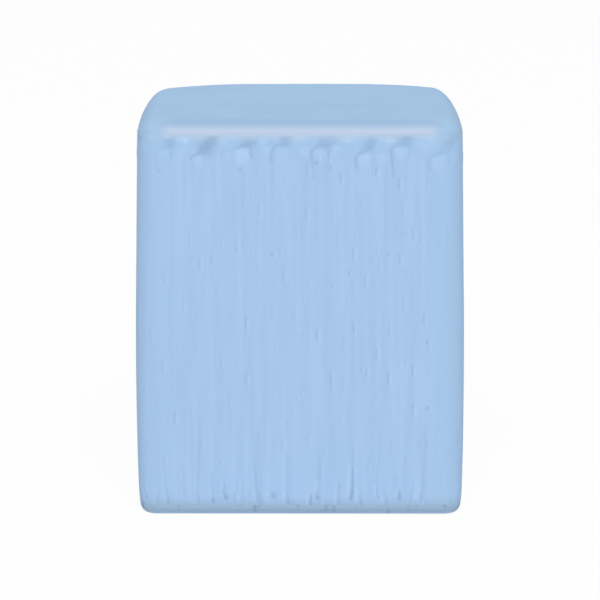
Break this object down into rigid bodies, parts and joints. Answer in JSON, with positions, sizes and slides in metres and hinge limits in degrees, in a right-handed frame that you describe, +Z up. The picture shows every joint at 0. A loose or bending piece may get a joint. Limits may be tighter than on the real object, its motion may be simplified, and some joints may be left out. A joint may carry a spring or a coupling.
{
  "type": "cue chalk cube",
  "caption": "Block of pressed cue chalk with rounded edges and a shallow dish on top, held in a plain paper wrap pasted round its four sides.",
  "frame": {"origin": "centre of the flat base, on the surface that the chalk stands on", "axes": "+Z up, out of the dished top; the front looks along -Y and the wrap's lap seam is at the back, on +Y"},
  "size_m": [0.0222, 0.0223, 0.0269],
  "materials": {
    "chalk": "matt pressed powder",
    "paper": "matt, uncoated, finely creased upright"
  },
  "bodies": {
    "root": {"chalk_block": "chalk", "paper_wrap": "paper"}
  },
  "joints": []
}
